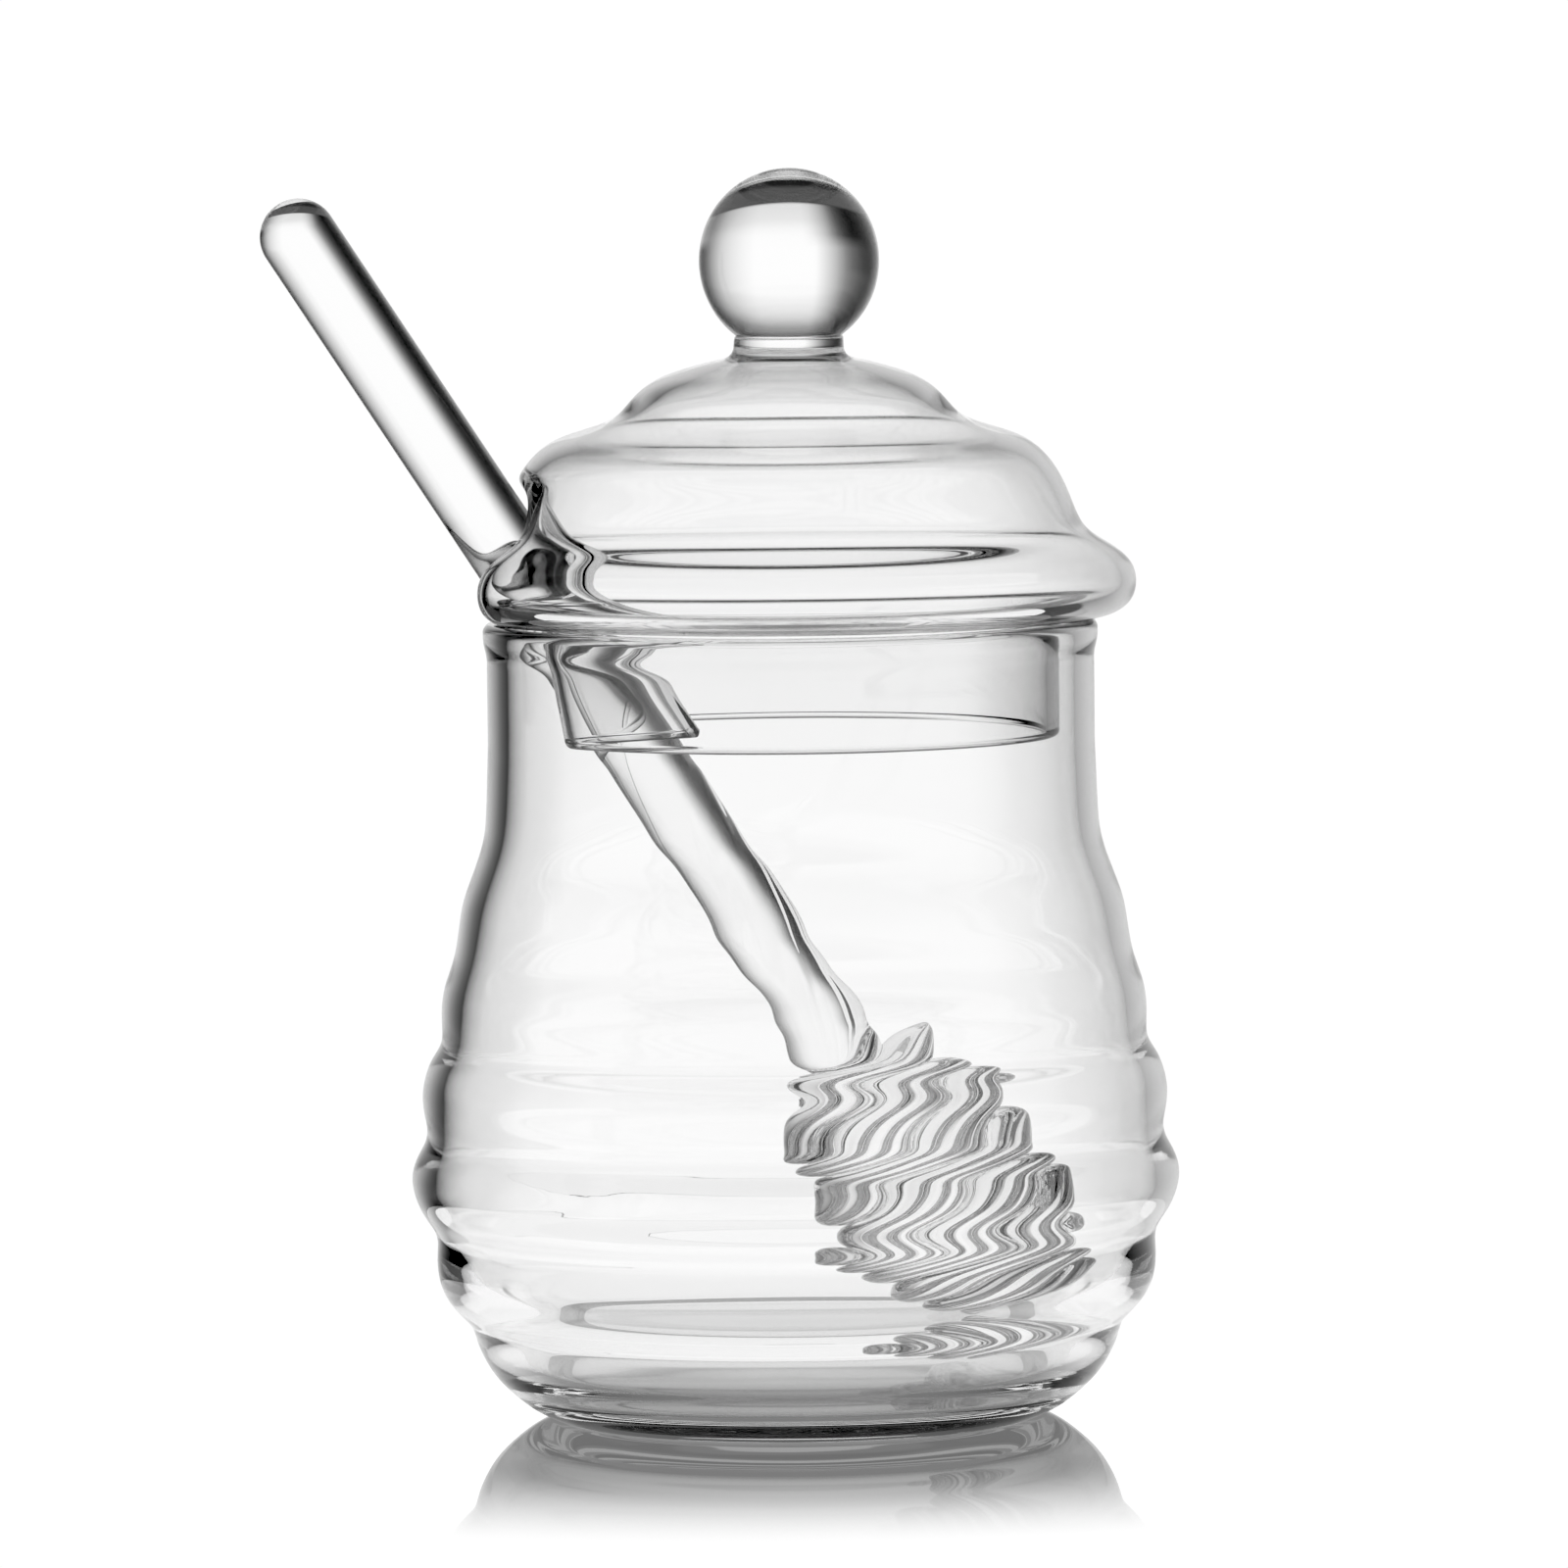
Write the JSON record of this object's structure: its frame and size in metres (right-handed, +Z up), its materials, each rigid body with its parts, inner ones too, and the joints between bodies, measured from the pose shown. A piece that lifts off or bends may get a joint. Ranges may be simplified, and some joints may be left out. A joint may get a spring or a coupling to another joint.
{
  "type": "honey dispenser jar",
  "caption": "Clear glass honey jar with ribbed round body, domed lid with ball knob and notched skirt, and a glass dipper leaning through the notch.",
  "frame": {"origin": "centre of the jar's flat base, on the surface it stands on", "axes": "+Z up along the jar's axis; -X towards the notch and the dipper's free end; -Y towards the picture's camera"},
  "size_m": [0.1021, 0.0864, 0.14],
  "materials": {
    "jar_glass": "clear colourless blown glass, smooth and glossy",
    "lid_glass": "clear colourless blown glass, smooth and glossy",
    "dipper_glass": "clear colourless solid glass, fire-polished"
  },
  "bodies": {
    "root": {"jar": "jar_glass", "lid": "lid_glass", "dipper": "dipper_glass"}
  },
  "joints": []
}
